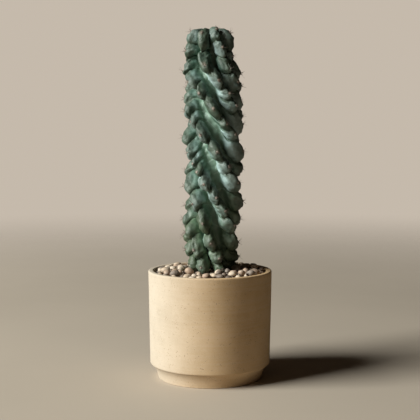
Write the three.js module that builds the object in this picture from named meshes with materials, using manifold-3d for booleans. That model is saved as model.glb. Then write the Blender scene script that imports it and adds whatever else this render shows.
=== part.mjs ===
// A potted spiral cactus: a round stoneware pot with a narrower foot, potting soil, a bed of
// mixed pebbles, and one upright stem whose six twisted ribs are rows of fat tubercles with
// short spines. Units are millimetres, +Z is up, and the pot's foot stands on z = 0.
import * as THREE from 'three';
import { mergeVertices } from 'three/addons/utils/BufferGeometryUtils.js';
import Module from 'manifold-3d';

const wasm = await Module();
wasm.setup();

// Pot
const potHeight = 122;
const potLipRadius = 70;
const potBodyRadius = 68.2;
const potBodyBottom = 17.5;
const potFootRadius = 59;
const potFootEdge = 0.8;
const potFootCurve = [[60.4, 5.5], [61.8, 9.5], [64, 13]];
const potBodyEdge = 1.2;
const potWall = 6;
const potInnerTaper = 1;
const potInnerCorner = [5, 6];
const potLipRound = 1.2;
const potLipSteps = 4;
const potFloor = 12;
const potFootRing = 10;
const potRecess = 2;
const potSides = 56;

// Soil and gravel
const gap = 0.35;
const soilTop = 106;
const gravelAtWall = 114;
const gravelAtStem = 119;
const holeRoom = 2;
const pebbleCount = 130;
const pebbleSizes = [3.2, 5];
const pebbleStretch = [0.85, 1.2];
const pebbleFlatness = [0.7, 0.8];
const turnPerPebble = 137.508;
const pebbleSeed = 41;

// Stem
const stemTop = 394;
const shoulderHeight = 348;
const stemFoot = 120;
const rootDepth = 46;
const rootRadius = 19;
const rootTaper = 4;
const rootTaperHeight = 5;
const rootRoom = 2.5;
const collarRadius = 28;
const crownArc = 50;
const crownBend = 0.62;
const crownRadius = 16;
const apexFill = 0.4;
const fullReach = 34;
const reachPoints = [[394, 33], [373, 31], [359, 31], [346, 35], [331, 34], [168, 34], [120, 28]];
const valleyShare = 0.33;
const crownValleyShare = 0.7;
const bowOffset = 4;
const bowHeight = 243;
const bowSpread = 72;
const ribAzimuths = [-222, -150, -75, -18, 18, 60];
const twistPoints = [
  [394, 0], [349, 0], [328, 38], [303, 72], [286, 107], [260, 149], [215, 212], [154, 294], [120, 328],
];
const twistEase = [-10, -5, 0, 5, 10];
const twistReach = 6;

// How far some of the ribs stray from the common twist, in degrees at a height
const noWander = [[stemTop, 0], [stemFoot, 0]];
const ribWander = [
  noWander,
  noWander,
  [[365, 0], [353, -12], [340, -14], [325, 0]],
  [[394, -8], [361, -7], [348, 0]],
  [[378, 0], [353, 16], [338, 12], [313, 0]],
  [[263, 0], [243, 4], [199, 18], [178, 20], [153, 6], [120, 0]],
];

// Heights of the creases between the tubercles, for each rib from its crown to its foot
const creaseHeights = [
  [371, 351, 333, 315, 299, 283, 263, 247, 239, 229, 213, 199, 184, 166, 145, 131],
  [375, 361, 348, 335, 323, 308, 294, 284, 266, 247, 233, 212, 190, 170, 156, 139],
  [377, 355, 340, 326, 314, 293, 281, 270, 245, 229, 214, 199, 184, 168, 152, 136],
  [366, 342, 326, 314, 300, 275, 259, 243, 229, 216, 204, 192, 180, 167, 154, 139],
  [379, 359, 343, 323, 303, 289, 276, 263, 248, 233, 218, 203, 188, 174, 159, 137],
  [367, 355, 336, 323, 308, 294, 281, 268, 255, 242, 229, 208, 190, 166, 146, 132],
];
const tuberclesPerRib = creaseHeights[0].length + 1;

// Tubercles: a fat round lobe on a thin neck, which shrinks and sinks at each crease
const lobeRadius = 7.8;
const creaseLobeRadius = 2.6;
const lobeDepth = 17;
const lobeShare = 0.6;
const lobeTurn = 130;
const creaseDepth = 0.23;
const crownCreaseShare = 0.45;
const fullCreaseWalk = 80;
const sizeDepth = 0.3;
const neckDrop = 4.5;
const neckNarrowing = 0.55;
const valleyBend = 4;
const droop = 0.3;
const hang = 0.45;
const lowerRound = 2.4;
const upperRound = 2;
const swellPower = 0.55;
const creaseShift = 3;
const riseFade = 4;
const pressFade = 8;
const usualSwell = 0.6;
const usualSize = 0.85;
const usualLength = 17;
const usualLengthSize = 0.92;
const sizePerLength = 0.02;
const sizeRange = [0.75, 1.1];
const pressedShare = 0.96;
const sizeJitter = 0.14;
const leanJitter = 1.6;
const stemSeed = 7;
const rowsPerTubercle = [-1, -0.5, 0.3, 0.8];
const columnsPerRib = [-0.8, -0.6, -0.4, -0.2, 0, 0.2, 0.4, 0.6, 0.8, 1];

// Spines
const areolePlace = 0.1;
const spineLength = 6;
const spineWidth = 0.9;
const spineRoot = 2;
const spineSpread = 0.9;

const mergeTolerance = 0.01;
const equalDistance = 0.001;
const degrees = Math.PI / 180;

// Repeatable random numbers from 0 to 1
function makeRandom(seed) {
  let state = seed;
  return () => {
    state = (state * 1664525 + 1013904223) % 4294967296;
    return state / 4294967296;
  };
}

// Three.js geometry as a solid: equal vertices merged, flat triangles dropped
function toSolid(geometry) {
  const plain = (geometry.index ? geometry.toNonIndexed() : geometry.clone());
  plain.deleteAttribute('normal');
  plain.deleteAttribute('uv');
  const merged = mergeVertices(plain, equalDistance);
  const corners = [];
  for (let i = 0; i < merged.index.count; i += 3) {
    const [a, b, c] = [0, 1, 2].map((k) => merged.index.getX(i + k));
    if (a !== b && b !== c && c !== a) corners.push(a, b, c);
  }
  return new wasm.Manifold(new wasm.Mesh({
    numProp: 3,
    vertProperties: merged.attributes.position.array,
    triVerts: new Uint32Array(corners),
  }));
}

function toGeometry(solid) {
  const mesh = solid.getMesh();
  const geometry = new THREE.BufferGeometry();
  geometry.setAttribute('position', new THREE.BufferAttribute(mesh.vertProperties.slice(), 3));
  geometry.setIndex(new THREE.BufferAttribute(mesh.triVerts.slice(), 1));
  geometry.computeVertexNormals();
  return geometry;
}

// Solid of revolution about Z, from [radius, height] points that go out, up and back in
function turned(points, sides) {
  const profile = points.map(([radius, height]) => new THREE.Vector2(radius, height));
  return new THREE.LatheGeometry(profile, sides).rotateX(90 * degrees);
}

// Straight-line value between [place, value] points, held level past both ends
function between(points, at) {
  const places = points.map(([place]) => place);
  const inside = THREE.MathUtils.clamp(at, Math.min(...places), Math.max(...places));
  const passes = (n) => n > 0 && (inside - places[n - 1]) * (inside - places[n]) <= 0;
  const next = Math.max(places.findIndex((place, n) => passes(n)), 1);
  const [[x0, y0], [x1, y1]] = [points[next - 1], points[next]];
  return y0 + (y1 - y0) * (inside - x0) / (x1 - x0);
}

function potInnerRadius(height) {
  const atFloor = potBodyRadius - potWall - potInnerTaper;
  return between([[potFloor, atFloor], [potHeight, potLipRadius - potWall]], height);
}

function makePot() {
  const lip = (middle, from) => Array.from({ length: potLipSteps / 2 + 1 }, (_, step) => {
    const angle = from + step * Math.PI / potLipSteps;
    return [middle + potLipRound * Math.cos(angle), potHeight - potLipRound + potLipRound * Math.sin(angle)];
  });
  const [cornerInset, cornerRise] = potInnerCorner;
  return turned([
    [0, potRecess],
    [potFootRadius - potFootRing - potRecess, potRecess],
    [potFootRadius - potFootRing, 0],
    [potFootRadius - potFootEdge, 0],
    [potFootRadius, potFootEdge],
    ...potFootCurve,
    [potBodyRadius - potBodyEdge, potBodyBottom - potBodyEdge],
    [potBodyRadius, potBodyBottom],
    ...lip(potLipRadius - potLipRound, 0),
    ...lip(potLipRadius - potWall + potLipRound, Math.PI / 2),
    [potInnerRadius(potFloor + cornerRise), potFloor + cornerRise],
    [potInnerRadius(potFloor) - cornerInset, potFloor],
    [0, potFloor],
  ], potSides);
}

// Stem axis, which bows a little to +X
function axisX(height) {
  return bowOffset - ((height - bowHeight) / bowSpread) ** 2;
}

function twistAt(height) {
  const eased = twistEase.map((ease) => between(twistPoints, height + ease));
  return eased.reduce((sum, turn) => sum + turn, 0) / twistEase.length * degrees;
}

// How fast a rib turns as it goes down, in radians a millimetre
function twistRate(height) {
  return (twistAt(height - twistReach) - twistAt(height + twistReach)) / (2 * twistReach);
}

// Radius and height on the stem: walk is the distance down from the apex along the crest,
// fill is 0 on the valley floor and 1 on the top of a tubercle
function meridian(walk, fill) {
  const turn = Math.min(walk / crownArc, 1) * 90 * degrees;
  const height = shoulderHeight - Math.max(walk - crownArc, 0);
  const crown = (stemTop - shoulderHeight) * Math.max(Math.cos(turn), 0) ** crownBend;
  const reach = between(reachPoints, height + crown);
  const share = valleyShare + (1 - valleyShare) * fill;
  const crownShare = crownValleyShare + (1 - crownValleyShare) * fill;
  return [reach * share * Math.sin(turn) ** crownBend, height + crown * crownShare];
}

// Walks at which the creases between tubercles cross each rib, from the apex to the foot
function placeCreases() {
  const walkEnd = crownArc + shoulderHeight - stemFoot;
  const walkAt = Array.from({ length: walkEnd + 1 }, (_, walk) => [meridian(walk, 1)[1], walk]);
  return creaseHeights.map((heights) => [0, ...heights.map((height) => between(walkAt, height)), walkEnd]);
}

// Size and sideways lean of each tubercle: long ones stand out further than short ones
function drawTubercles() {
  const random = makeRandom(stemSeed + 1);
  return creases.map((walks) => walks.slice(1).map((walk, n) => {
    const longer = walk - walks[n] - usualLength / 2;
    const size = THREE.MathUtils.clamp(usualLengthSize + sizePerLength * longer, ...sizeRange);
    return { size: size - sizeJitter * random(), lean: leanJitter * (2 * random() - 1) };
  }));
}

const creases = placeCreases();
const tubercles = drawTubercles();

function ribAzimuth(rib, height) {
  return (ribAzimuths[rib] + between(ribWander[rib], height)) * degrees;
}

// Outline of a rib in a plane square to the stem, as out along the rib's azimuth and aside from it:
// round the lobe on the crest, then down its neck to the valley. swell is 0 at a crease between
// two tubercles and 1 where a tubercle is fattest, and notch is how deep the creases are
function ribSection(across, swell, size, lean, outer, halfGap, notch) {
  const scale = Math.sqrt(outer / fullReach);
  const tip = outer * (1 - notch * (1 - swell) - sizeDepth * (1 - size) * swell);
  const neckOut = outer - lobeDepth * scale;
  const fullTurn = lobeTurn * degrees;
  const deep = (tip - neckOut) / (1 - Math.cos(fullTurn));
  const wide = scale * (creaseLobeRadius + (lobeRadius * size - creaseLobeRadius) * swell);
  const turn = Math.min(Math.abs(across) / lobeShare, 1) * fullTurn;
  const down = Math.max(Math.abs(across) - lobeShare, 0) / (1 - lobeShare);
  const valleyOut = outer * valleyShare * Math.cos(halfGap);
  const valleyAside = outer * valleyShare * Math.sin(halfGap);
  const flank = new THREE.CubicBezierCurve(
    new THREE.Vector2(tip - deep + deep * Math.cos(turn), wide * Math.sin(turn)),
    new THREE.Vector2(neckOut - neckDrop * scale, wide * Math.sin(fullTurn) * neckNarrowing),
    new THREE.Vector2(
      valleyOut + valleyBend * scale * Math.sin(halfGap),
      valleyAside - valleyBend * scale * Math.cos(halfGap),
    ),
    new THREE.Vector2(valleyOut, valleyAside),
  );
  const { x, y } = flank.getPoint(down);
  return new THREE.Vector2(x, y * Math.sign(across) + lean * swell * (1 - down));
}

// Point of the stem's skin. across runs from -1 in one valley over 0 on the crest to 1 in the
// next, and along from -1 at a tubercle's upper crease to 1 at its lower one
function skinPoint(rib, index, across, along) {
  const count = ribAzimuths.length;
  const side = (rib + (across < 0 ? count - 1 : 1)) % count;
  const at = (list) => list[index] + (list[index + 1] - list[index]) * (along + 1) / 2;
  const own = at(creases[rib]);
  const straight = own + (at(creases[side]) - own) * Math.abs(across) ** creaseShift / 2;
  const [reach, level] = meridian(straight, 1);
  const azimuth = ribAzimuth(rib, level);
  const turnToSide = (ribAzimuth(side, level) - azimuth) * (across < 0 ? -1 : 1);
  const halfGap = (turnToSide + 2 * Math.PI) % (2 * Math.PI) / 2;
  const outer = Math.max(reach, crownRadius);
  const below = Math.max(along - droop, 0) / (1 - droop);
  const above = Math.max(droop - along, 0) / (1 + droop);
  const swell = (1 - below ** lowerRound - above ** upperRound) ** swellPower;
  const { size, lean } = tubercles[rib][index];
  const notch = creaseDepth * between([[0, crownCreaseShare], [fullCreaseWalk, 1]], straight);
  const usual = ribSection(across, usualSwell, usualSize, 0, outer, halfGap, notch);
  const usualTip = ribSection(0, usualSwell, usualSize, 0, outer, halfGap, notch);
  const section = ribSection(across, swell, size, lean, outer, halfGap, notch);
  const rise = reach * usual.y * twistRate(level) * (1 - across ** riseFade);
  const lifted = hang * (usualTip.x - usual.length()) * Math.min(straight / crownArc, 1);
  const fill = (section.length() / outer - valleyShare) / (1 - valleyShare);
  const [radius, height] = meridian(Math.max(straight - rise - lifted, 0), fill);
  const pressed = halfGap * (pressedShare + (1 - pressedShare) * across ** pressFade);
  const aside = THREE.MathUtils.clamp(Math.atan2(section.y, section.x), -pressed, pressed);
  const angle = azimuth + aside + twistAt(height);
  return new THREE.Vector3(axisX(height) + radius * Math.sin(angle), -radius * Math.cos(angle), height);
}

function makeStem() {
  const rings = [];
  for (let index = 0; index < tuberclesPerRib; index += 1) {
    rowsPerTubercle.forEach((along) => {
      if (index === 0 && along === -1) return;
      rings.push(ribAzimuths.flatMap((_, rib) => (
        columnsPerRib.map((across) => skinPoint(rib, index, across, along)))));
    });
  }
  const circle = (radius, height) => rings[rings.length - 1].map((point) => {
    const angle = Math.atan2(point.y, point.x - axisX(point.z));
    return new THREE.Vector3(axisX(height) + radius * Math.cos(angle), radius * Math.sin(angle), height);
  });
  rings.push(circle(collarRadius, stemFoot - 1));
  rings.push(circle(rootRadius, stemFoot - rootDepth + rootTaperHeight));
  rings.push(circle(rootRadius - rootTaper, stemFoot - rootDepth));

  const vertices = [];
  const triangle = (...points) => points.forEach((point) => vertices.push(point.x, point.y, point.z));
  const count = rings[0].length;
  const [, apexHeight] = meridian(0, apexFill);
  const apex = new THREE.Vector3(axisX(apexHeight), 0, apexHeight);
  const base = new THREE.Vector3(axisX(stemFoot - rootDepth), 0, stemFoot - rootDepth);
  for (let i = 0; i < count; i += 1) {
    const k = (i + 1) % count;
    triangle(apex, rings[0][i], rings[0][k]);
    triangle(base, rings[rings.length - 1][k], rings[rings.length - 1][i]);
    for (let j = 1; j < rings.length; j += 1) {
      triangle(rings[j - 1][i], rings[j][i], rings[j][k]);
      triangle(rings[j - 1][i], rings[j][k], rings[j - 1][k]);
    }
  }
  const geometry = new THREE.BufferGeometry();
  geometry.setAttribute('position', new THREE.Float32BufferAttribute(vertices, 3));
  return geometry;
}

// A three-sided needle whose root is sunk into the skin
function makeSpine(from, direction) {
  const turn = new THREE.Quaternion().setFromUnitVectors(new THREE.Vector3(0, 1, 0), direction);
  const length = spineLength + spineRoot;
  const middle = from.clone().addScaledVector(direction, length / 2 - spineRoot);
  const needle = new THREE.ConeGeometry(spineWidth / 2, length, 3).applyQuaternion(turn);
  return needle.translate(middle.x, middle.y, middle.z);
}

function makeCactus() {
  const random = makeRandom(stemSeed + 2);
  const pieces = [toSolid(makeStem())];
  ribAzimuths.forEach((_, rib) => {
    for (let index = 1; index < tuberclesPerRib - 1; index += 1) {
      const tip = skinPoint(rib, index, 0, areolePlace);
      const heart = new THREE.Vector3(axisX(tip.z), 0, Math.min(tip.z, shoulderHeight));
      const out = tip.clone().sub(heart).normalize();
      const spread = new THREE.Vector3(random() - 0.5, random() - 0.5, random() - 0.5);
      const direction = out.clone().addScaledVector(spread, spineSpread).normalize();
      pieces.push(toSolid(makeSpine(tip.clone().addScaledVector(out, -spineRoot / 2), direction)));
    }
  });
  return toGeometry(wasm.Manifold.union(pieces).setTolerance(mergeTolerance));
}

function makeSoil() {
  const bottom = potFloor + gap;
  const [cornerInset, cornerRise] = potInnerCorner;
  const holeBottom = stemFoot - rootDepth - rootRoom;
  return turned([
    [0, bottom],
    [potInnerRadius(potFloor) - cornerInset - gap, bottom],
    [potInnerRadius(potFloor + cornerRise) - gap, potFloor + cornerRise + gap],
    [potInnerRadius(soilTop) - gap, soilTop],
    [collarRadius + rootRoom, soilTop],
    [rootRadius + rootRoom, stemFoot - rootDepth + rootTaperHeight],
    [rootRadius + rootRoom, holeBottom],
    [0, holeBottom],
  ], potSides / 2);
}

function makePebble(random) {
  const within = ([low, high]) => low + (high - low) * random();
  const shape = new THREE.IcosahedronGeometry(within(pebbleSizes), 0);
  shape.rotateX(random() * Math.PI).rotateZ(random() * Math.PI);
  shape.scale(within(pebbleStretch), within(pebbleStretch), within(pebbleFlatness));
  return shape.rotateZ(random() * Math.PI);
}

function makeGravel() {
  const random = makeRandom(pebbleSeed);
  const holeRadius = collarRadius + holeRoom;
  const bed = toSolid(turned([
    [holeRadius, soilTop + gap],
    [potInnerRadius(soilTop) - gap, soilTop + gap],
    [potInnerRadius(gravelAtWall) - gap, gravelAtWall],
    [holeRadius, gravelAtStem],
    [holeRadius, soilTop + gap],
  ], potSides / 2));
  const pebbles = [];
  const wall = potInnerRadius(gravelAtWall) - gap;
  for (let n = 0; n < pebbleCount; n += 1) {
    const share = (n + 0.5) / pebbleCount;
    const reach = Math.sqrt(holeRadius ** 2 + (wall ** 2 - holeRadius ** 2) * share);
    const angle = n * turnPerPebble * degrees;
    const height = between([[holeRadius, gravelAtStem], [wall, gravelAtWall]], reach);
    const pebble = makePebble(random).translate(reach * Math.cos(angle), reach * Math.sin(angle), height);
    pebbles.push(toSolid(pebble));
  }
  const room = toSolid(turned([
    [holeRadius, soilTop],
    [wall - gap, soilTop],
    [wall, 2 * potHeight],
    [holeRadius, 2 * potHeight],
    [holeRadius, soilTop],
  ], potSides / 2));
  return toGeometry(wasm.Manifold.union([bed, ...pebbles]).intersect(room).setTolerance(mergeTolerance));
}

function colour(hex, roughness) {
  return new THREE.MeshStandardMaterial({ color: hex, roughness, metalness: 0 });
}

function addNode(group, name, geometry, material) {
  const mesh = new THREE.Mesh(geometry, material);
  mesh.name = name;
  group.add(mesh);
}

const plant = new THREE.Group();
addNode(plant, 'pot', makePot(), colour(0xc9b08a, 0.9));
addNode(plant, 'potting_soil', makeSoil(), colour(0x3b2c20, 1));
addNode(plant, 'gravel', makeGravel(), colour(0xa8917a, 0.8));
addNode(plant, 'cactus', makeCactus(), colour(0x4f7a6a, 0.6));

export default plant;
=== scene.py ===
import math

import bmesh
import bpy
import numpy as np
from mathutils import Matrix, Vector, noise
from mathutils.bvhtree import BVHTree


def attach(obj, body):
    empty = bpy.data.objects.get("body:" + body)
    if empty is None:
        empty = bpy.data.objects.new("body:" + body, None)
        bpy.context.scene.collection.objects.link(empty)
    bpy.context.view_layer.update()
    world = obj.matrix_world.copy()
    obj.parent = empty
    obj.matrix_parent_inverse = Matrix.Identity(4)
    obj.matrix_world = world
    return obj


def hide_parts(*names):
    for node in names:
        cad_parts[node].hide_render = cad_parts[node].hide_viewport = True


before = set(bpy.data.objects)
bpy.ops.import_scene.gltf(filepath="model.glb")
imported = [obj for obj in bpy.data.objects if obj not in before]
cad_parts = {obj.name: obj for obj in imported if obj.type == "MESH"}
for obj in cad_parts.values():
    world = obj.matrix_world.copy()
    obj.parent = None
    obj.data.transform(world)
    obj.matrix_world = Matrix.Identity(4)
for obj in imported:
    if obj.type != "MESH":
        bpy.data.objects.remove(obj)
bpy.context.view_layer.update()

millimetre = 0.001
print("frame loaded:", ", ".join(sorted(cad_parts)))


# Small helpers

def seededDraws(seed):
    # the same repeatable draws from 0 to 1 that the solid stem is grown from
    multiplier, step, size = 1664525, 1013904223, 2 ** 32
    state = seed
    while True:
        state = (state * multiplier + step) % size
        yield state / size


def drawBetween(draws, pair):
    low, high = pair
    return low + (high - low) * next(draws)


def clamped(value):
    return min(max(value, 0), 1)


def valueBetween(points, at):
    ordered = sorted(points)
    return np.interp(at, [place for place, value in ordered], [value for place, value in ordered])


def curveWeights(share):
    # how much each of the four points of a smooth curve counts, a share of the way along it
    rest = 1 - share
    return [rest ** 3, 3 * share * rest ** 2, 3 * share ** 2 * rest, share ** 3]


def anglesRound(count):
    return [2 * math.pi * step / count for step in range(count)]


def awayFrom(normal, turn):
    # the direction square to a normal that a turn about it points to
    aside = normal.orthogonal().normalized()
    return aside * math.cos(turn) + normal.cross(aside) * math.sin(turn)


def addMesh(name, vertices, faces, material):
    mesh = bpy.data.meshes.new(name)
    mesh.from_pydata([tuple(vertex) for vertex in vertices], [], faces)
    mesh.materials.append(material)
    mesh.polygons.foreach_set("use_smooth", [True] * len(mesh.polygons))
    mesh.update()
    piece = bpy.data.objects.new(name, mesh)
    bpy.context.scene.collection.objects.link(piece)
    return piece


def addPointValues(piece, name, values):
    layer = piece.data.attributes.new(name, "FLOAT", "POINT")
    layer.data.foreach_set("value", np.asarray(values, dtype=np.float32))


def ringFaces(rings, count):
    # the faces between rings of points that run down or outwards
    faces = []
    for ring in range(rings - 1):
        for step in range(count):
            after = (step + 1) % count
            low, high = ring * count, (ring + 1) * count
            faces.append((low + step, high + step, high + after, low + after))
    return faces


def tipFaces(first, rings, sides):
    # the faces of rings of points that rise to a tip, which is the point after them
    faces = []
    for ring in range(rings - 1):
        for side in range(sides):
            low, after = first + ring * sides, (side + 1) % sides
            faces.append((low + side, low + after, low + sides + after, low + sides + side))
    last = first + (rings - 1) * sides
    faces += [(last + side, last + (side + 1) % sides, last + sides) for side in range(sides)]
    return faces


class Recipe:
    # a short way to write a material's nodes, with all lengths in metres
    def __init__(self, name):
        self.material = bpy.data.materials.new(name)
        self.material.use_nodes = True
        self.nodes = self.material.node_tree.nodes
        self.links = self.material.node_tree.links
        self.shader = self.nodes["Principled BSDF"]
        self.place = self.add("ShaderNodeTexCoord").outputs["Object"]

    def add(self, kind, **settings):
        node = self.nodes.new(kind)
        for key, value in settings.items():
            setattr(node, key, value)
        return node

    def feed(self, socket, value):
        if isinstance(value, bpy.types.NodeSocket):
            self.links.new(value, socket)
        elif value is not None:
            socket.default_value = value

    def along(self, axis):
        split = self.add("ShaderNodeSeparateXYZ")
        self.links.new(self.place, split.inputs[0])
        return split.outputs[axis]

    def noise(self, scale, detail=3.0, rough=0.55, stretch=None):
        node = self.add("ShaderNodeTexNoise")
        node.inputs["Scale"].default_value = scale
        node.inputs["Detail"].default_value = detail
        node.inputs["Roughness"].default_value = rough
        source = self.place
        if stretch:
            mapping = self.add("ShaderNodeMapping")
            mapping.inputs["Scale"].default_value = stretch
            self.links.new(source, mapping.inputs["Vector"])
            source = mapping.outputs["Vector"]
        self.links.new(source, node.inputs["Vector"])
        return node.outputs["Fac"]

    def cells(self, scale):
        node = self.add("ShaderNodeTexVoronoi", feature="F1")
        node.inputs["Scale"].default_value = scale
        self.links.new(self.place, node.inputs["Vector"])
        return node.outputs["Distance"]

    def values(self, name):
        return self.add("ShaderNodeAttribute", attribute_name=name).outputs["Fac"]

    def ramp(self, value, low, high, start=0.0, end=1.0):
        node = self.add("ShaderNodeMapRange", interpolation_type="SMOOTHSTEP")
        for key, number in (("From Min", low), ("From Max", high), ("To Min", start), ("To Max", end)):
            node.inputs[key].default_value = number
        self.links.new(value, node.inputs["Value"])
        return node.outputs["Result"]

    def patches(self, low, high, start=0.0, end=1.0, **grain):
        # soft-edged patches of noise, which fade in between two of its values
        return self.ramp(self.noise(**grain), low, high, start, end)

    def math(self, operation, first, second):
        node = self.add("ShaderNodeMath", operation=operation)
        self.feed(node.inputs[0], first)
        self.feed(node.inputs[1], second)
        return node.outputs[0]

    def times(self, first, second):
        return self.math("MULTIPLY", first, second)

    def plus(self, first, second):
        return self.math("ADD", first, second)

    def mix(self, share, first, second):
        node = self.add("ShaderNodeMix", data_type="RGBA")
        self.feed(node.inputs["Factor"], share)
        for key, colour in (("A", first), ("B", second)):
            self.feed(node.inputs[key], colour if isinstance(colour, bpy.types.NodeSocket) else (*colour, 1))
        return node.outputs["Result"]

    def bump(self, height, distance, strength):
        node = self.add("ShaderNodeBump")
        node.inputs["Strength"].default_value = strength
        node.inputs["Distance"].default_value = distance
        self.links.new(height, node.inputs["Height"])
        return node.outputs["Normal"]

    def finish(self, colour, roughness, normal=None, specular=None):
        self.feed(self.shader.inputs["Base Color"], colour)
        self.feed(self.shader.inputs["Roughness"], roughness)
        self.feed(self.shader.inputs["Normal"], normal)
        self.feed(self.shader.inputs["Specular IOR Level"], specular)
        return self.material


# Camera, at the height and the slight downward tilt of the picture, in metres and degrees

view = {
    "distance": 1.053,
    "height": 0.272,
    "tiltDown": 4.46,
    "lens": 80.1,
    "sensorWidth": 36,
}


def addCamera():
    camera = bpy.data.objects.new("camera", bpy.data.cameras.new("camera"))
    camera.data.lens = view["lens"]
    camera.data.sensor_width = view["sensorWidth"]
    camera.location = (0, -view["distance"], view["height"])
    camera.rotation_euler = (math.radians(90 - view["tiltDown"]), 0, 0)
    bpy.context.scene.collection.objects.link(camera)
    bpy.context.scene.camera = camera


# Studio: a pale round floor that fades into a plain pale room, a window on the left and a weak fill

studio = {
    "floorRadius": 6.0,
    "floorSides": 96,
    "floorFade": (0.5, 2.4),
    "floorColour": (0.46, 0.39, 0.31),
    "floorClouds": dict(scale=3.0, detail=4, low=0.3, high=0.7),
    "floorShade": 0.95,
    "floorGrain": 400.0,
    "floorBump": dict(distance=0.0003, strength=0.3),
    "floorRoughness": 0.75,
    "backdropColour": (0.56, 0.49, 0.41),
    "fillColour": (1.0, 0.76, 0.55),
    "fillStrength": 0.04,
    "fillShare": (0.03, 1.0),  # away from the window, on its side
    "fillSide": (-1.0, -0.1, 0.5),
    "keyPlace": (-3.8, -1.45, 2.35),
    "keyAim": (0, 0, 0.2),
    "keySize": 2.4,
    "keyPower": 445.0,
    "keyColour": (0.96, 0.985, 0.955),
}


def floorMaterial():
    recipe = Recipe("palePlaster")
    shaded = [studio["floorShade"] * part for part in studio["floorColour"]]
    colour = recipe.mix(recipe.patches(**studio["floorClouds"]), shaded, studio["floorColour"])
    normal = recipe.bump(recipe.noise(studio["floorGrain"]), **studio["floorBump"])
    recipe.finish(colour, studio["floorRoughness"], normal)
    distance = recipe.add("ShaderNodeVectorMath", operation="LENGTH")
    recipe.feed(distance.inputs[0], recipe.place)
    fade = recipe.add("ShaderNodeMixShader")
    recipe.feed(fade.inputs[0], recipe.ramp(distance.outputs["Value"], *studio["floorFade"]))
    recipe.feed(fade.inputs[1], recipe.shader.outputs[0])
    recipe.feed(fade.inputs[2], recipe.add("ShaderNodeBsdfTransparent").outputs[0])
    recipe.feed(recipe.nodes["Material Output"].inputs["Surface"], fade.outputs[0])
    return recipe.material


def addFloor():
    radius = studio["floorRadius"]
    angles = anglesRound(studio["floorSides"])
    rim = [(radius * math.cos(angle), radius * math.sin(angle), 0) for angle in angles]
    floor = addMesh("floor", rim, [tuple(range(len(rim)))], floorMaterial())


def addRoom():
    # the camera sees one plain colour, while the piece is lit by a weak fill from the window's side
    world = bpy.data.worlds.new("softRoom")
    world.use_nodes = True
    nodes, links = world.node_tree.nodes, world.node_tree.links

    def mixed(share, first, second):
        node = nodes.new("ShaderNodeMix")
        node.data_type = "RGBA"
        links.new(share, node.inputs["Factor"])
        node.inputs["A"].default_value = (*first, 1)
        node.inputs["B"].default_value = (*second, 1)
        return node

    facing = nodes.new("ShaderNodeVectorMath")
    facing.operation = "DOT_PRODUCT"
    facing.inputs[1].default_value = Vector(studio["fillSide"]).normalized()
    links.new(nodes.new("ShaderNodeTexCoord").outputs["Generated"], facing.inputs[0])
    fade = nodes.new("ShaderNodeMapRange")
    fade.inputs["From Min"].default_value = -1
    links.new(facing.outputs["Value"], fade.inputs["Value"])
    weak, strong = [
        [share * studio["fillStrength"] * part for part in studio["fillColour"]]
        for share in studio["fillShare"]
    ]
    fill = mixed(fade.outputs["Result"], weak, strong)
    seen = mixed(nodes.new("ShaderNodeLightPath").outputs["Is Camera Ray"], weak, studio["backdropColour"])
    links.new(fill.outputs["Result"], seen.inputs["A"])
    links.new(seen.outputs["Result"], nodes["Background"].inputs["Color"])
    bpy.context.scene.world = world


def addWindow():
    window = bpy.data.objects.new("windowLight", bpy.data.lights.new("windowLight", "AREA"))
    window.data.size = studio["keySize"]
    window.data.energy = studio["keyPower"]
    window.data.color = studio["keyColour"]
    window.location = studio["keyPlace"]
    aim = Vector(studio["keyAim"]) - window.location
    window.rotation_euler = aim.to_track_quat("-Z", "Y").to_euler()
    bpy.context.scene.collection.objects.link(window)


# The stem: one skin grown by the same rule as the solid one, in millimetres and degrees

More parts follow.
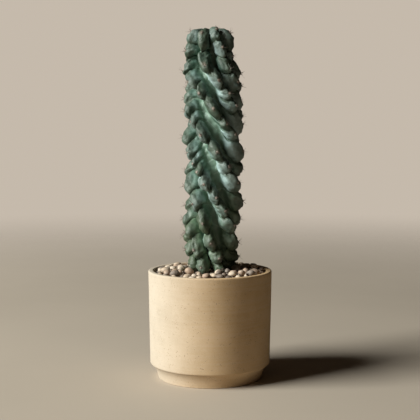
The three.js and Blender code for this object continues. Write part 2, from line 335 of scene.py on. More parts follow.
stem = {
    "top": 394,
    "shoulder": 348,
    "foot": 120,
    "crownArc": 50,  # the walk down the skin from the top to the shoulder
    "crownBend": 0.62,
    "crownRadius": 16,
    "apexShare": 0.85,
    "reach": [(394, 33), (373, 31), (359, 31), (346, 35), (331, 34), (168, 34), (120, 28)],  # height, radius
    "valley": 0.33,
    "crownValley": 0.7,
    "bow": (4, 243, 72),  # offset, height of the middle, spread
    "ribs": [-222, -150, -75, -18, 18, 60],  # the azimuth of each at the top
    "twist": [  # height, turn
        (394, 0), (349, 0), (328, 38), (303, 72), (286, 107),
        (260, 149), (215, 212), (154, 294), (120, 328),
    ],
    "twistEase": (-10, -5, 0, 5, 10),
    "twistReach": 6,
    "wander": {  # how far a rib strays from its azimuth, by height
        2: [(365, 0), (353, -12), (340, -14), (325, 0)],
        3: [(394, -8), (361, -7), (348, 0)],
        4: [(378, 0), (353, 16), (338, 12), (313, 0)],
        5: [(263, 0), (243, 4), (199, 18), (178, 20), (153, 6), (120, 0)],
    },
    "creases": [  # the heights of each rib's creases, seen on its crest
        [371, 351, 333, 315, 299, 283, 263, 247, 239, 229, 213, 199, 184, 166, 145, 131],
        [375, 361, 348, 335, 323, 308, 294, 284, 266, 247, 233, 212, 190, 170, 156, 139],
        [377, 355, 340, 326, 314, 293, 281, 270, 245, 229, 214, 199, 184, 168, 152, 136],
        [366, 342, 326, 314, 300, 275, 259, 243, 229, 216, 204, 192, 180, 167, 154, 139],
        [379, 359, 343, 323, 303, 289, 276, 263, 248, 233, 218, 203, 188, 174, 159, 137],
        [367, 355, 336, 323, 308, 294, 281, 268, 255, 242, 229, 208, 190, 166, 146, 132],
    ],
    "usualLength": 17,
    "lengthSize": (0.92, 0.02),  # size of a short tubercle, growth with its length
    "sizeRange": (0.75, 1.1),
    "fullReach": 34,
    "lobe": 7.8,
    "creaseLobe": 2.6,
    "lobeDepth": 17,
    "creaseDepth": 0.23,
    "sizeDepth": 0.3,
    "lobeShare": 0.6,
    "lobeTurn": 130,
    "neckDrop": 4.5,
    "neckNarrowing": 0.55,
    "valleyBend": 4.0,
    "pressedShare": 0.96,
    "pressFade": 8,
    "creaseShift": 3,
    "riseFade": 4,
    "droop": 0.3,
    "hang": 0.45,
    "swellPowers": (2.4, 2, 0.55),  # below the fullest line, above it, of the whole
    "usualSwell": 0.6,
    "usualSize": 0.85,
    "crownCrease": (0.45, 80),  # share of the depth at the top, walk to the full depth
    "sizeJitter": 0.14,
    "leanJitter": 1.6,
    # painted light: the share of pale wax on each rib's right-hand flank, which faces away from the window
    # from the front, against all of it on the left-hand flank
    "paintedShadeFlankWax": 0.45,
    "areoleAt": 0.1,
    "areoleShare": (0.3, 0.55),  # half its width and half its length
    "lumps": [(12.0, 1.8), (5.0, 1.3), (2.6, 0.5)],  # size, height
    "foldSize": (6.0, 0.8),  # down the rib, across it
    "foldWidth": 0.2,
    "foldDepth": 1.5,
    "foldPatches": (17, 1.5, 0.55),  # size, contrast, usual share
    "foldRise": (2, 0.5),  # how folds fade towards the valleys
    "ribApart": 1000,  # keeps the folds of two ribs unlike
    "seed": 7,
    "rows": 17,
    "columns": 56,
    "skin": {
        "oliveGreens": ((0.065, 0.11, 0.04), (0.13, 0.2, 0.085)),
        "blueGreens": ((0.032, 0.075, 0.045), (0.065, 0.145, 0.105)),
        "greenPatches": dict(scale=45.0, detail=4, low=0.3, high=0.7),
        "blueFrom": (0.17, 0.33),  # heights
        "swayGrain": 25.0,
        "sway": 0.12,
        "filmColours": ((0.25, 0.34, 0.19), (0.26, 0.38, 0.33)),
        "filmPatches": dict(scale=80.0, detail=5, rough=0.65, low=0.35, high=0.7, end=0.5),
        "valleyColour": (0.16, 0.25, 0.185),
        "valleyFade": (0.0, 0.5),
        # painted light in part: the pale wax goes on in random clouds, with more of it on the flanks that
        # face the window from the front
        "waxAndPaintedLightColour": (0.4, 0.54, 0.52),
        "waxClouds": dict(scale=60.0, detail=4, rough=0.6, low=0.25, high=0.55, start=0.5),
        "waxAndPaintedLitFade": (0.1, 0.6),
        "waxOutwards": (0.1, 0.45),
        "waxUpwards": (0.14, 0.24, 0.3, 1.0),  # two heights and the shares there
        "creaseColour": (0.3, 0.42, 0.33),
        "creaseFade": (0.45, 0.9, 0.0, 0.55),
        "wornColours": ((0.025, 0.037, 0.02), (0.07, 0.085, 0.055)),
        "wornPatches": dict(scale=90.0, low=0.35, high=0.65),
        "wornFade": (0.42, 0.68, 0.75, 0.0),
        "raggedGrain": dict(scale=120.0, detail=4),
        "ragged": 0.35,
        "stainColour": (0.16, 0.12, 0.085),
        "stainPatches": dict(scale=200.0, detail=4, low=0.3, high=0.6),
        "stainFade": (0.5, 0.95),
        "wrinkles": dict(scale=420.0, detail=4, rough=0.6),
        "wrinkleFade": (0.25, 0.6, 1.0, 0.25),
        "wrinkleBump": dict(distance=0.0011, strength=0.7),
        "roughness": 0.5,
    },
}


def axisX(height):
    offset, middle, spread = stem["bow"]
    return offset - ((height - middle) / spread) ** 2


def twistAt(height):
    eased = [valueBetween(stem["twist"], height + ease) for ease in stem["twistEase"]]
    return np.radians(sum(eased) / len(eased))


def twistRate(height):
    reach = stem["twistReach"]
    return (twistAt(height - reach) - twistAt(height + reach)) / (2 * reach)


def meridian(walk, fill):
    # the distance from the axis and the height of a point, a walk down the skin from the top;
    # fill is 0 deep between two ribs and 1 on a crest
    turn = np.minimum(walk / stem["crownArc"], 1) * math.pi / 2
    height = stem["shoulder"] - np.maximum(walk - stem["crownArc"], 0)
    crown = (stem["top"] - stem["shoulder"]) * np.maximum(np.cos(turn), 0) ** stem["crownBend"]
    reach = valueBetween(stem["reach"], height + crown)
    share = stem["valley"] + (1 - stem["valley"]) * fill
    crownShare = stem["crownValley"] + (1 - stem["crownValley"]) * fill
    return reach * share * np.sin(turn) ** stem["crownBend"], height + crown * crownShare


def placeCreases():
    # how far down the skin each crease lies, from the heights that the crests show
    walkEnd = stem["crownArc"] + stem["shoulder"] - stem["foot"]
    walks = np.arange(walkEnd + 1)
    levels = meridian(walks, 1)[1]
    return [
        np.array([0, *np.interp([-height for height in heights], -levels, walks), walkEnd])
        for heights in stem["creases"]
    ]


def drawTubercles(creases):
    # the size and lean of each tubercle: long ones stand out further than short ones
    draws = seededDraws(stem["seed"] + 1)
    least, growth = stem["lengthSize"]
    tubercles = []
    for walks in creases:
        lengths = np.diff(walks)
        sizes = np.clip(least + growth * (lengths - stem["usualLength"] / 2), *stem["sizeRange"])
        tubercles.append([
            (size - stem["sizeJitter"] * next(draws), stem["leanJitter"] * (2 * next(draws) - 1))
            for size in sizes
        ])
    return tubercles


def ribAzimuth(rib, height):
    strayed = valueBetween(stem["wander"].get(rib, [(0, 0)]), height)
    return np.radians(stem["ribs"][rib] + strayed)


def ribSection(across, swell, size, lean, outer, halfGap, notched):
    # the rib's outline in a plane square to the stem: out is along the rib's own azimuth, aside is
    # square to it. A fat round lobe stands on a thin neck, and a wide round valley follows
    scale = np.sqrt(outer / stem["fullReach"])
    core = outer * stem["valley"]
    sunk = notched * (1 - swell) + stem["sizeDepth"] * (1 - size) * swell
    tip = outer * (1 - sunk)
    neckOut = outer - stem["lobeDepth"] * scale
    fullTurn = math.radians(stem["lobeTurn"])
    deep = (tip - neckOut) / (1 - math.cos(fullTurn))
    wide = scale * (stem["creaseLobe"] + (stem["lobe"] * size - stem["creaseLobe"]) * swell)
    share = stem["lobeShare"]
    turn = np.clip(np.abs(across) / share, 0, 1) * fullTurn
    neckAside = wide * math.sin(fullTurn)
    valleyOut, valleyAside = core * np.cos(halfGap), core * np.sin(halfGap)
    bend = stem["valleyBend"] * scale
    points = [
        (tip - deep + deep * np.cos(turn), wide * np.sin(turn)),
        (neckOut - stem["neckDrop"] * scale, neckAside * stem["neckNarrowing"]),
        (valleyOut + bend * np.sin(halfGap), valleyAside - bend * np.cos(halfGap)),
        (valleyOut, valleyAside),
    ]
    down = np.clip((np.abs(across) - share) / (1 - share), 0, 1)
    weights = curveWeights(down)
    out = sum(weight * point[0] for weight, point in zip(weights, points))
    aside = sum(weight * point[1] for weight, point in zip(weights, points))
    return out, np.sign(across) * aside + lean * swell * (1 - down)


def growSkin(creases, tubercles, rib, index, across, along):
    # points of the skin: across is -1 and 1 in the valleys and 0 on the crest,
    # along is -1 at a tubercle's upper crease and 1 at its lower one
    count = len(stem["ribs"])
    part = (along + 1) / 2

    def walkOn(which):
        return creases[which][index] + (creases[which][index + 1] - creases[which][index]) * part

    own = walkOn(rib)
    beside = np.where(across < 0, walkOn(rib - 1), walkOn((rib + 1) % count))
    straight = own + (beside - own) * np.abs(across) ** stem["creaseShift"] / 2
    size, lean = tubercles[rib][index]
    below = np.maximum(along - stem["droop"], 0) / (1 - stem["droop"])
    above = np.maximum(stem["droop"] - along, 0) / (1 + stem["droop"])
    belowPower, abovePower, wholePower = stem["swellPowers"]
    swell = (1 - below ** belowPower - above ** abovePower) ** wholePower
    reach, level = meridian(straight, 1)
    azimuth = ribAzimuth(rib, level)
    right = (ribAzimuth((rib + 1) % count, level) - azimuth) % (2 * math.pi)
    left = (azimuth - ribAzimuth((rib - 1) % count, level)) % (2 * math.pi)
    halfGap = np.where(across < 0, left, right) / 2
    outer = np.maximum(reach, stem["crownRadius"])
    least, reached = stem["crownCrease"]
    notched = stem["creaseDepth"] * (least + (1 - least) * np.minimum(straight / reached, 1))
    out, aside = ribSection(across, swell, size, lean, outer, halfGap, notched)
    core = outer * stem["valley"]

    # a plain usual section tells how far a point moves up or down, as the rib twists and its lobe hangs
    usual = stem["usualSwell"], stem["usualSize"], 0, outer, halfGap, notched
    plainOut, plainAside = ribSection(across, *usual)
    rise = reach * plainAside * twistRate(level) * (1 - across ** stem["riseFade"])
    deep = ribSection(0 * across, *usual)[0] - np.hypot(plainOut, plainAside)
    hang = stem["hang"] * deep * np.minimum(straight / stem["crownArc"], 1)
    walk = np.maximum(straight - rise - hang, 0)
    fill = (np.hypot(out, aside) - core) / (outer - core)
    radius, height = meridian(walk, fill)
    limit = halfGap * (stem["pressedShare"] + (1 - stem["pressedShare"]) * across ** stem["pressFade"])
    turned = np.clip(np.arctan2(aside, out), -limit, limit)
    angle = azimuth + turned + twistAt(height)
    points = np.stack([axisX(height) + radius * np.sin(angle), -radius * np.cos(angle), height], -1)
    padWidth, padLength = stem["areoleShare"]
    areole = 1 - np.hypot(across / padWidth, (along - stem["areoleAt"]) / padLength)
    return points, {
        "fill": fill,
        "areole": np.clip(areole, 0, 1),
        "walk": straight + stem["ribApart"] * rib,
        "across": across,
        "side": np.abs(across),
        # painted light: pale wax is laid fully on each rib's left-hand flank, which faces the window from the
        # front, and less on the right-hand one
        "waxAndPaintedLitFlank": swell * np.where(across < 0, 1, stem["paintedShadeFlankWax"]),
        "crease": 1 - swell,
    }


def growStem():
    # the rings of points down the skin, and what each point tells the material and the folds
    creases = placeCreases()
    tubercles = drawTubercles(creases)
    across = np.linspace(-1, 1, stem["columns"], endpoint=False) + 1 / stem["columns"]
    steps = np.sin(np.linspace(-1, 1, stem["rows"], endpoint=False) * math.pi / 2)
    draws = seededDraws(stem["seed"] + 2)
    rings, told = [], []
    for index in range(len(stem["creases"][0]) + 1):
        waxAndPaintedLitFlank = [next(draws) for rib in stem["ribs"]]
        # the very first ring would be one point, and the apex stands there instead
        for along in steps[1 if index == 0 else 0:]:
            ribs = [
                growSkin(creases, tubercles, rib, index, across, np.full_like(across, along))
                for rib in range(len(stem["ribs"]))
            ]
            for share, (points, values) in zip(waxAndPaintedLitFlank, ribs):
                values["waxAndPaintedLitFlank"] = values["waxAndPaintedLitFlank"] * share
            rings.append(np.concatenate([points for points, values in ribs]))
            told += [{name: np.concatenate([values[name] for points, values in ribs]) for name in ribs[0][1]}]
    return np.array(rings), {name: np.concatenate([ring[name] for ring in told]) for name in told[0]}


def skinMaterial():
    # deep green, bluer above and more olive below, with pale wax on some flanks, weighted as painted window
    # light towards each rib's left-hand flank, and worn brownish crests
    recipe = Recipe("waxySkin")
    skin = stem["skin"]
    fill, side, height = recipe.values("fill"), recipe.values("side"), recipe.along("Z")
    sway = recipe.times(recipe.noise(skin["swayGrain"]), skin["sway"])
    high = recipe.ramp(recipe.plus(height, sway), *skin["blueFrom"])
    patches = recipe.patches(**skin["greenPatches"])
    olive = recipe.mix(patches, *skin["oliveGreens"])
    green = recipe.mix(high, olive, recipe.mix(patches, *skin["blueGreens"]))
    film = recipe.mix(recipe.patches(**skin["filmPatches"]), green, recipe.mix(high, *skin["filmColours"]))
    valley = recipe.mix(recipe.ramp(fill, *skin["valleyFade"]), skin["valleyColour"], film)
    clouds = recipe.patches(**skin["waxClouds"])
    # painted light: the wax is weighted towards the rib flanks that face the window from the front
    waxAndPaintedLight = recipe.times(recipe.ramp(recipe.values("waxAndPaintedLitFlank"), *skin["waxAndPaintedLitFade"]), clouds)
    shown = recipe.times(recipe.ramp(fill, *skin["waxOutwards"]), recipe.ramp(height, *skin["waxUpwards"]))
    waxedAndPaintedLit = recipe.mix(recipe.times(waxAndPaintedLight, shown), valley, skin["waxAndPaintedLightColour"])
    crease = recipe.ramp(recipe.values("crease"), *skin["creaseFade"])
    pale = recipe.mix(crease, waxedAndPaintedLit, skin["creaseColour"])
    worn = recipe.mix(recipe.patches(**skin["wornPatches"]), *skin["wornColours"])
    ragged = recipe.plus(side, recipe.times(recipe.noise(**skin["raggedGrain"]), skin["ragged"]))
    crest = recipe.mix(recipe.ramp(ragged, *skin["wornFade"]), pale, worn)
    nearAreole = recipe.ramp(recipe.values("areole"), *skin["stainFade"])
    stain = recipe.times(nearAreole, recipe.patches(**skin["stainPatches"]))
    colour = recipe.mix(stain, crest, skin["stainColour"])
    wrinkles = recipe.times(recipe.noise(**skin["wrinkles"]), recipe.ramp(side, *skin["wrinkleFade"]))
    return recipe.finish(colour, skin["roughness"], recipe.bump(wrinkles, **skin["wrinkleBump"]))


def roughen(piece, values):
    # low lumps all over and fine folds that run across each rib, pushed along the skin's own normals
    mesh = piece.data
    count = len(mesh.vertices)
    places, normals = np.empty(count * 3), np.empty(count * 3)
    mesh.vertices.foreach_get("co", places)
    mesh.vertices.foreach_get("normal", normals)
    places, normals = places.reshape(-1, 3), normals.reshape(-1, 3)
    length, width = stem["foldSize"]
    patchSize, contrast, usualShare = stem["foldPatches"]
    steep, sunk = stem["foldRise"]
    spots = [Vector(place) / millimetre for place in places]
    push = np.array([sum(amount * noise.noise(at / size) for size, amount in stem["lumps"]) for at in spots])
    for number, (fill, walk, across) in enumerate(zip(values["fill"], values["walk"], values["across"])):
        # a thin fold lies wherever a noise that is stretched across the rib passes through zero
        wave = abs(noise.noise(Vector((walk / length, across / width, 0))))
        fold = max(1 - wave / stem["foldWidth"], 0)
        share = clamped(contrast * noise.noise(spots[number] / patchSize) + usualShare)
        push[number] -= stem["foldDepth"] * fold * share * clamped(fill * steep - sunk)
    places += normals * push[:, None] * millimetre
    mesh.vertices.foreach_set("co", places.ravel())
    mesh.update()


def addStem():
    rings, values = growStem()
    ringCount, count = rings.shape[:2]
    apex = (axisX(stem["top"]), 0, stem["shoulder"] + (stem["top"] - stem["shoulder"]) * stem["apexShare"])
    vertices = np.concatenate([rings.reshape(-1, 3), [apex]]) * millimetre
    faces = ringFaces(ringCount, count)
    top = len(vertices) - 1
    faces += [(top, step, (step + 1) % count) for step in range(count)]
    faces.append([(ringCount - 1) * count + step for step in reversed(range(count))])
    piece = addMesh("cactusSkin", vertices, faces, skinMaterial())
    for name, atApex in (("fill", 0.5), ("areole", 0.5), ("side", 0.5), ("waxAndPaintedLitFlank", 0.5), ("crease", 0.0)):
        addPointValues(piece, name, np.append(values[name], atApex))
    roughen(piece, values)
    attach(piece, "root")
    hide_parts("cactus")
    skinTree = BVHTree.FromPolygons([vertex.co for vertex in piece.data.vertices], faces)
    return findAreoles(piece, count), skinTree


# Areoles and spines: a woolly pad on every tubercle, with a few dark spines round it, in millimetres

armour = {
    "padRadius": (1.1, 1.7),
    "padHeight": 0.55,
    "padRings": 4,
    "padSides": 12,
    "padRough": 0.25,
    "padSunk": 0.25,
    "padTufts": 14,
    "tuftLength": (0.9, 1.8),
    "tuftLean": 1.1,
    "tuftReach": 0.8,
    "tuftBend": 0.2,
    "tuft": dict(width=0.14, sides=3, joints=2),
    "spines": (4, 8),  # fewest, most
    "spineLength": (2.8, 7.2),
    "spineSpread": (0.35, 1.25),
    "spineScatter": 0.6,
    "spineReach": 0.35,
    "spineSunk": 0.3,
    "spineBend": (0.12, 0.3),  # how strong, how often inwards
    "spine": dict(width=0.17, sides=5, joints=4),
    "taper": 0.8,
    "seed": 23,
    "spineColours": ((0.045, 0.028, 0.02), (0.16, 0.11, 0.08)),
    "spinePatches": dict(scale=700.0, detail=2, low=0.35, high=0.65),
    "spineRoughness": 0.45,
    "woolColours": ((0.26, 0.21, 0.17), (0.5, 0.44, 0.38)),
    "woolPatches": dict(scale=900.0, low=0.3, high=0.7),
    "woolGrain": dict(scale=2500.0, detail=2),
    "woolBump": dict(distance=0.0002, strength=0.8),
    "woolRoughness": 0.95,
}


def findAreoles(piece, count):
    # the skin's own point and normal at the areole of each tubercle
    areoles = []
    vertices = piece.data.vertices
    step = int(round((math.asin(stem["areoleAt"]) / math.pi + 0.5) * stem["rows"]))
    for index in range(len(stem["creases"][0]) + 1):
        ring = index * stem["rows"] + step - 1
        for rib in range(len(stem["ribs"])):
            column = rib * stem["columns"] + stem["columns"] // 2
            vertex = vertices[ring * count + column]
            areoles.append((vertex.co.copy(), vertex.normal.copy()))
    return areoles


def addHair(vertices, faces, root, way, length, bend, width, sides, joints):
    # one tapered, slightly curved spine or fibre
    first = len(vertices)
    for joint in range(joints):
        share = joint / joints
        middle = root + way * length * share + bend * length * share ** 2
        thick = width * millimetre * (1 - armour["taper"] * share)
        vertices += [middle + awayFrom(way, turn) * thick for turn in anglesRound(sides)]
    vertices.append(root + way * length + bend * length)
    faces += tipFaces(first, joints, sides)


def spineMaterial():
    recipe = Recipe("darkSpine")
    colour = recipe.mix(recipe.patches(**armour["spinePatches"]), *armour["spineColours"])
    return recipe.finish(colour, armour["spineRoughness"])


def woolMaterial():
    recipe = Recipe("areoleWool")
    colour = recipe.mix(recipe.patches(**armour["woolPatches"]), *armour["woolColours"])
    normal = recipe.bump(recipe.noise(**armour["woolGrain"]), **armour["woolBump"])
    return recipe.finish(colour, armour["woolRoughness"], normal)


def growPad(draws, vertices, faces, place, normal, radius):
    # a low dome with an uneven edge, sunk a little into the skin, and short fibres all over it
    first = len(vertices)
    rings, sides = armour["padRings"], armour["padSides"]
    for ring in range(rings):
        tilt = math.pi / 2 * ring / rings
        up = (armour["padHeight"] * math.sin(tilt) - armour["padSunk"]) * millimetre
        for turn in anglesRound(sides):
            out = radius * math.cos(tilt) * (1 + armour["padRough"] * (next(draws) - 0.5))
            vertices.append(place + awayFrom(normal, turn) * out + normal * up)
    vertices.append(place + normal * (armour["padHeight"] - armour["padSunk"]) * millimetre)
    faces += tipFaces(first, rings, sides)
    faces.append(tuple(first + side for side in reversed(range(sides))))
    for number in range(armour["padTufts"]):
        out = awayFrom(normal, 2 * math.pi * next(draws))
        way = (normal + out * armour["tuftLean"] * next(draws)).normalized()
        root = place + out * radius * armour["tuftReach"] * next(draws)
        length = drawBetween(draws, armour["tuftLength"]) * millimetre
        addHair(vertices, faces, root, way, length, out * armour["tuftBend"], **armour["tuft"])


def growSpines(draws, vertices, faces, place, normal, radius):
    fewest, most = armour["spines"]
    bendShare, bendInwards = armour["spineBend"]
    count = int(drawBetween(draws, (fewest, most + 1)))
    for number in range(count):
        out = awayFrom(normal, 2 * math.pi * (number + armour["spineScatter"] * next(draws)) / count)
        way = (normal + out * drawBetween(draws, armour["spineSpread"])).normalized()
        length = drawBetween(draws, armour["spineLength"]) * millimetre
        root = place + out * radius * armour["spineReach"] - normal * armour["spineSunk"] * millimetre
        bend = out * bendShare * (next(draws) - bendInwards)
        addHair(vertices, faces, root, way, length, bend, **armour["spine"])


def addArmour(areoles):
    draws = seededDraws(armour["seed"])
    pads, spines = ([], []), ([], [])
    for place, normal in areoles:
        radius = drawBetween(draws, armour["padRadius"]) * millimetre
        growPad(draws, *pads, place, normal, radius)
        growSpines(draws, *spines, place, normal, radius)
    for name, shape, material in (("areoles", pads, woolMaterial()), ("spines", spines, spineMaterial())):
        piece = addMesh(name, *shape, material)
        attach(piece, "root")


# Pot: thrown stoneware, with faint turning marks and a fine dark speckle, in millimetres

pot = {
    "height": 122,
    "lipRadius": 70,
    "bodyRadius": 68.2,
    "bodyFrom": 17.9,
    "bodyRound": 2,
    "footRadius": 59,
    "footCurve": [(59, 1.2), (60.6, 7.5), (61.4, 11), (66.9, 16.6)],
    "footRing": 10,
    "footRound": 1,
    "recess": 2,
    "recessSlope": 3,
    "wall": 6,
    "floor": 12,
    "floorNarrowing": 1,
    "lipRound": 1.6,
    "innerRound": 9,
    "steps": dict(ring=5, foot=6, curve=12, body=6, wall=90, lip=8, inner=40, floor=8),
    "sides": 256,
    "wobble": 0.22,
    "wobbleHeight": 60,
    "turningMarks": 0.05,
    "markHeight": 2.2,
    "markLength": 0.6,
    "plainFoot": (2, 12),  # marks begin above a height, and how far on they are full
    "plainMiddle": (40, 15),  # the same outwards from the axis
    "clay": {
        "clouds": dict(scale=26.0, detail=5, rough=0.6, low=0.3, high=0.7),
        # painted light: the clay's colours are more saturated away from the window as painted warm bounce
        # light and greyer towards it as painted cool window light, blended along X
        "clayColoursWithPaintedBounce": ((0.52, 0.335, 0.16), (0.6, 0.4, 0.21)),
        "paintedWindowLitColours": ((0.45, 0.385, 0.3), (0.52, 0.45, 0.36)),
        "paintedWindowLitFade": (-0.075, 0.025, 1.0, 0.0),
        "marks": dict(scale=1.0, detail=4, rough=0.6, stretch=(12, 12, 420), low=0.35, high=0.65),
        "markColour": (0.6, 0.49, 0.36),
        "markShare": 0.16,
        "markRelief": 0.2,
        "grains": 520.0,
        "grainFade": (0.12, 0.3, 1.0, 0.0),
        "grainPatches": dict(scale=150.0, low=0.5, high=0.62),
        "grainColour": (0.25, 0.16, 0.09),
        "sandPatches": dict(scale=1500.0, detail=2, low=0.4, high=0.75, end=0.3),
        "sandColour": (0.66, 0.56, 0.44),
        "relief": dict(scale=1300.0, detail=4),
        "bump": dict(distance=0.00025, strength=0.55),
        "roughness": 0.82,
        "specular": 0.25,
    },
}


def arc(middle, radius, start, end, steps):
    # points of an arc in the pot's profile, angles in degrees
    angles = np.radians(np.linspace(start, end, steps))
    return [(middle[0] + radius * math.cos(angle), middle[1] + radius * math.sin(angle)) for angle in angles]


def line(first, last, steps):
    # points of a straight line, without its two ends
    way = np.array(last) - np.array(first)
    return [tuple(np.array(first) + way * step / steps) for step in range(1, steps)]


def curve(ends, steps):
    # points of a smooth curve between the first and the last of four points, bent towards the other two
    return [tuple(np.dot(curveWeights(step / steps), ends)) for step in range(steps + 1)]


def potInner(height):
    low = pot["bodyRadius"] - pot["wall"] - pot["floorNarrowing"]
    high = pot["lipRadius"] - pot["wall"]
    return valueBetween([(pot["floor"], low), (pot["height"], high)], height)


def potProfile():
    # from the middle of the underside, round the foot and the lip, to the middle of the inner floor
    foot, body, lip = pot["footRadius"], pot["bodyRadius"], pot["lipRadius"]
    ring, rim, edge = foot - pot["footRing"], pot["height"] - pot["lipRound"], pot["lipRound"]
    footRound, bodyRound, inner = pot["footRound"], pot["bodyRound"], pot["innerRound"]
    steps = pot["steps"]
    points = [(0, pot["recess"]), (ring - pot["recessSlope"], pot["recess"])]
    points += arc((ring + footRound, footRound), footRound, 180, 270, steps["ring"])
    points += arc((foot - footRound, footRound), footRound, 270, 350, steps["foot"])
    points += curve(pot["footCurve"], steps["curve"])
    points += arc((body - bodyRound, pot["bodyFrom"]), bodyRound, -50, 0, steps["body"])
    points += line((body, pot["bodyFrom"]), (lip, rim), steps["wall"])
    points += arc((lip - edge, rim), edge, 0, 90, steps["lip"])
    points += arc((lip - pot["wall"] + edge, rim), edge, 90, 180, steps["lip"])
    low = pot["floor"] + inner
    points += line((lip - pot["wall"], rim), (potInner(low), low), steps["inner"])
    points += arc((potInner(low) - inner, low), inner, 0, -90, steps["floor"])
    points.append((0, pot["floor"]))
    return points


def stonewareMaterial():
    # painted light: greyer on the window's side and warmer away from it, standing in for the cool window
    # light and the warm bounce; with faint turning marks, dark grains and pale sand
    recipe = Recipe("stoneware")
    clay = pot["clay"]
    cloud = recipe.patches(**clay["clouds"])
    # painted light: a blend along X from greyer window-lit colours to the more saturated far side, standing
    # in for cool window light and warm bounce
    paintedWindowLitShare = recipe.ramp(recipe.along("X"), *clay["paintedWindowLitFade"])
    clayWithPaintedBounce = recipe.mix(cloud, *clay["clayColoursWithPaintedBounce"])
    base = recipe.mix(paintedWindowLitShare, clayWithPaintedBounce, recipe.mix(cloud, *clay["paintedWindowLitColours"]))
    marks = recipe.patches(**clay["marks"])
    turned = recipe.mix(recipe.times(marks, clay["markShare"]), base, clay["markColour"])
    grains = recipe.ramp(recipe.cells(clay["grains"]), *clay["grainFade"])
    rare = recipe.times(grains, recipe.patches(**clay["grainPatches"]))
    speckled = recipe.mix(rare, turned, clay["grainColour"])
    colour = recipe.mix(recipe.patches(**clay["sandPatches"]), speckled, clay["sandColour"])
    height = recipe.plus(recipe.noise(**clay["relief"]), recipe.times(marks, clay["markRelief"]))
    return recipe.finish(colour, clay["roughness"], recipe.bump(height, **clay["bump"]), clay["specular"])


def addPot():
    # the first and the last point of the profile lie on the axis, and each closes the pot with a fan of faces
    profile = potProfile()
    sides, length, level = pot["sides"], pot["markLength"], pot["markHeight"]
    footEnd, footRise = pot["plainFoot"]
    middleEnd, middleRise = pot["plainMiddle"]
    vertices = []
    for radius, height in profile[1:-1]:
        share = clamped((height - footEnd) / footRise) * clamped((radius - middleEnd) / middleRise)
        for turn in anglesRound(sides):
            x, y = math.cos(turn), math.sin(turn)
            wave = noise.noise(Vector((x, y, height / pot["wobbleHeight"])))
            mark = noise.noise(Vector((x * length, y * length, height / level)))
            out = radius + share * (pot["wobble"] * (wave - 0.5) + pot["turningMarks"] * mark)
            vertices.append((out * x, out * y, height))
    rings = len(vertices) // sides
    under, inside = len(vertices), len(vertices) + 1
    vertices += [(0, 0, profile[0][1]), (0, 0, profile[-1][1])]
    faces = [tuple(reversed(face)) for face in ringFaces(rings, sides)]
    last = (rings - 1) * sides
    faces += [(under, (side + 1) % sides, side) for side in range(sides)]
    faces += [(inside, last + side, last + (side + 1) % sides) for side in range(sides)]
    piece = addMesh("stonewarePot", np.array(vertices) * millimetre, faces, stonewareMaterial())
    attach(piece, "root")
    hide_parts("pot")


# Gravel: mixed rounded pebbles dropped one by one to the lowest of a few places, in millimetres

gravel = {
    "count": 450,
    "sizes": (2.5, 4.9),
    "smallerBy": 1.3,
    "tries": 14,
    "wallHeight": 115,
    "bedAtWall": 106.2,
    "bedAtStem": 110.8,
    "stemReach": 30,
    "innerReach": 16,
    "lift": 0.5,
    "wallRoom": 0.3,
    "skinRoom": 0.92,
    "touch": 0.93,
    "overlap": 1.04,
    "stretch": (0.86, 1.22),
    "flatness": (0.66, 0.86),
    "tilt": 0.7,
    "subdivisions": 2,
    "lumps": 0.26,
    "lumpFineness": 1.3,
    "lumpShift": 3.7,
    "tones": [0.16, 0.42, 0.58, 0.72, 0.84, 1.0],
    "toneJitter": 0.2,
    "seed": 41,
    "darkColours": ((0.1, 0.07, 0.05), (0.25, 0.21, 0.18)),
    "darkFade": (0.0, 0.25),
    "toneColours": [  # between which tones each colour comes in
        ((0.3, 0.5), (0.4, 0.27, 0.19)),
        ((0.5, 0.72), (0.54, 0.42, 0.3)),
        ((0.75, 0.95), (0.64, 0.53, 0.41)),
    ],
    "shadeColour": (0.36, 0.27, 0.2),
    "shadeShare": 0.3,
    "veinColour": (0.62, 0.55, 0.46),
    "veins": dict(scale=260.0, detail=4, low=0.52, high=0.7, end=0.45),
    "grain": 1400.0,
    "bump": dict(distance=0.0002, strength=0.5),
    "roughness": 0.6,
}


def bedHeight(reach):
    atWall = (potInner(gravel["wallHeight"]), gravel["bedAtWall"])
    return valueBetween([(gravel["stemReach"], gravel["bedAtStem"]), atWall], reach)


def dropPebbles(skinTree):
    # each pebble lands on the bed or on those before it, clear of the wall and of the skin
    draws = seededDraws(gravel["seed"])
    low, high = gravel["sizes"]
    inner = gravel["innerReach"]
    placed = np.empty((0, 4))
    for number in range(gravel["count"]):
        radius = low + (high - low) * next(draws) ** gravel["smallerBy"]
        best = None
        for attempt in range(gravel["tries"]):
            turn = 2 * math.pi * next(draws)
            outer = potInner(gravel["wallHeight"]) - gravel["wallRoom"] - radius
            reach = math.sqrt(inner ** 2 + (outer ** 2 - inner ** 2) * next(draws))
            x, y = reach * math.sin(turn), -reach * math.cos(turn)
            height = bedHeight(reach) + radius * gravel["lift"]
            if len(placed):
                away = np.hypot(placed[:, 0] - x, placed[:, 1] - y)
                touch = (placed[:, 3] + radius) * gravel["touch"]
                near = away < touch
                if near.any():
                    rests = placed[near, 2] + np.sqrt(touch[near] ** 2 - away[near] ** 2)
                    height = max(height, rests.max())
            if best is None or height < best[2]:
                spot = Vector((x, y, height)) * millimetre
                nearest, normal, face, distance = skinTree.find_nearest(spot)
                outside = (spot - nearest).dot(normal) > 0
                if outside and distance / millimetre > radius * gravel["skinRoom"]:
                    best = (x, y, height, radius)
        if best is not None:
            placed = np.vstack([placed, best])
    return placed


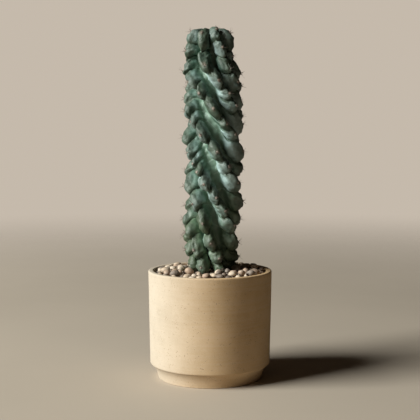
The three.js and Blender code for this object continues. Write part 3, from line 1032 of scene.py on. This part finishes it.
def pebbleMaterial():
    # a tone of its own for every pebble, from dark brown over pinkish and tan to cream, with pale veins
    recipe = Recipe("riverPebbles")
    tone, shade = recipe.values("tone"), recipe.values("shade")
    colour = recipe.mix(recipe.ramp(tone, *gravel["darkFade"]), *gravel["darkColours"])
    for fade, paler in gravel["toneColours"]:
        colour = recipe.mix(recipe.ramp(tone, *fade), colour, paler)
    varied = recipe.mix(recipe.times(shade, gravel["shadeShare"]), colour, gravel["shadeColour"])
    veined = recipe.mix(recipe.patches(**gravel["veins"]), varied, gravel["veinColour"])
    normal = recipe.bump(recipe.noise(gravel["grain"]), **gravel["bump"])
    return recipe.finish(veined, gravel["roughness"], normal)


def pebbleShape():
    # a small ball with evenly spread corners, made once and bent for every pebble
    ball = bmesh.new()
    bmesh.ops.create_icosphere(ball, subdivisions=gravel["subdivisions"], radius=1)
    corners = np.array([vertex.co[:] for vertex in ball.verts])
    faces = [[vertex.index for vertex in face.verts] for face in ball.faces]
    ball.free()
    return corners, faces


def growPebble(draws, corners, number, radius):
    # the ball made lumpy, stretched, flattened and turned
    shift = Vector((number * gravel["lumpShift"], 0, 0))
    lumps = np.array([noise.noise(Vector(corner * gravel["lumpFineness"]) + shift) for corner in corners])
    shape = corners * (1 + gravel["lumps"] * lumps[:, None])
    shape = shape * [drawBetween(draws, gravel[key]) for key in ("stretch", "stretch", "flatness")]
    turn = Matrix.Rotation(2 * math.pi * next(draws), 3, "Z")
    tilt = Matrix.Rotation(gravel["tilt"] * (next(draws) - 0.5), 3, "X")
    return shape @ np.array((turn @ tilt).transposed()) * radius * gravel["overlap"]


def addGravel(skinTree):
    draws = seededDraws(gravel["seed"] + 1)
    corners, ballFaces = pebbleShape()
    vertices, faces, tones, shades = [], [], [], []
    for number, (x, y, height, radius) in enumerate(dropPebbles(skinTree)):
        first = number * len(corners)
        vertices.append(growPebble(draws, corners, number, radius) + [x, y, height])
        faces += [[first + corner for corner in face] for face in ballFaces]
        tone = gravel["tones"][int(next(draws) * len(gravel["tones"]))] - gravel["toneJitter"] * next(draws)
        tones += [tone] * len(corners)
        shades += [next(draws)] * len(corners)
    piece = addMesh("pebbles", np.concatenate(vertices) * millimetre, faces, pebbleMaterial())
    addPointValues(piece, "tone", tones)
    addPointValues(piece, "shade", shades)
    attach(piece, "root")
    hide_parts("gravel")


# Grit: the fine dark fill that shows between the pebbles, in millimetres

grit = {
    "sides": 120,
    "steps": 24,
    "innerReach": 6,
    "wallRoom": 0.4,
    "lift": 1.2,
    "thick": 4,
    "bumpSize": 3,
    "bumpHeight": 0.7,
    "colours": ((0.05, 0.037, 0.027), (0.18, 0.14, 0.1)),
    "patches": dict(scale=500.0, detail=4, low=0.35, high=0.65),
    "grain": dict(scale=700.0, detail=4),
    "bump": dict(distance=0.0008, strength=0.8),
    "roughness": 0.95,
}


def gritMaterial():
    recipe = Recipe("darkGrit")
    colour = recipe.mix(recipe.patches(**grit["patches"]), *grit["colours"])
    normal = recipe.bump(recipe.noise(**grit["grain"]), **grit["bump"])
    return recipe.finish(colour, grit["roughness"], normal)


def addGrit():
    # a thick uneven ring from the stem to the wall
    sides, steps, inner = grit["sides"], grit["steps"], grit["innerReach"]
    outer = potInner(gravel["wallHeight"]) - grit["wallRoom"]
    vertices = []
    for step in range(steps + 1):
        reach = inner + (outer - inner) * step / steps
        for turn in anglesRound(sides):
            x, y = reach * math.sin(turn), -reach * math.cos(turn)
            rise = noise.noise(Vector((x / grit["bumpSize"], y / grit["bumpSize"], 0)))
            vertices.append((x, y, bedHeight(reach) + grit["lift"] + grit["bumpHeight"] * rise))
    under = len(vertices)
    vertices += [(x, y, height - grit["thick"]) for x, y, height in vertices]
    faces = ringFaces(steps + 1, sides)
    faces += [tuple(under + corner for corner in reversed(face)) for face in ringFaces(steps + 1, sides)]
    for ring, flip in ((0, True), (steps * sides, False)):
        for side in range(sides):
            after = (side + 1) % sides
            face = (ring + side, ring + after, under + ring + after, under + ring + side)
            faces.append(tuple(reversed(face)) if flip else face)
    piece = addMesh("grit", np.array(vertices) * millimetre, faces, gritMaterial())
    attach(piece, "root")


# Soil: the solid piece under the gravel keeps its own shape and gets a dark crumbly look

soil = {
    "colours": ((0.02, 0.012, 0.008), (0.08, 0.05, 0.03)),
    "crumbs": dict(scale=350.0, detail=5, low=0.35, high=0.65),
    "bump": dict(distance=0.001, strength=0.9),
    "roughness": 0.95,
}


def dressSoil():
    recipe = Recipe("pottingSoil")
    crumbs = recipe.patches(**soil["crumbs"])
    colour = recipe.mix(crumbs, *soil["colours"])
    material = recipe.finish(colour, soil["roughness"], recipe.bump(crumbs, **soil["bump"]))
    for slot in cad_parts["potting_soil"].material_slots:
        slot.material = material


addCamera()
addFloor()
addRoom()
addWindow()
bpy.context.scene.view_settings.view_transform = "Standard"
print("camera and studio placed")
areoles, skinTree = addStem()
addArmour(areoles)
print("stem, areoles and spines grown")
addPot()
addGrit()
addGravel(skinTree)
dressSoil()
print("pot, pebbles and soil placed")
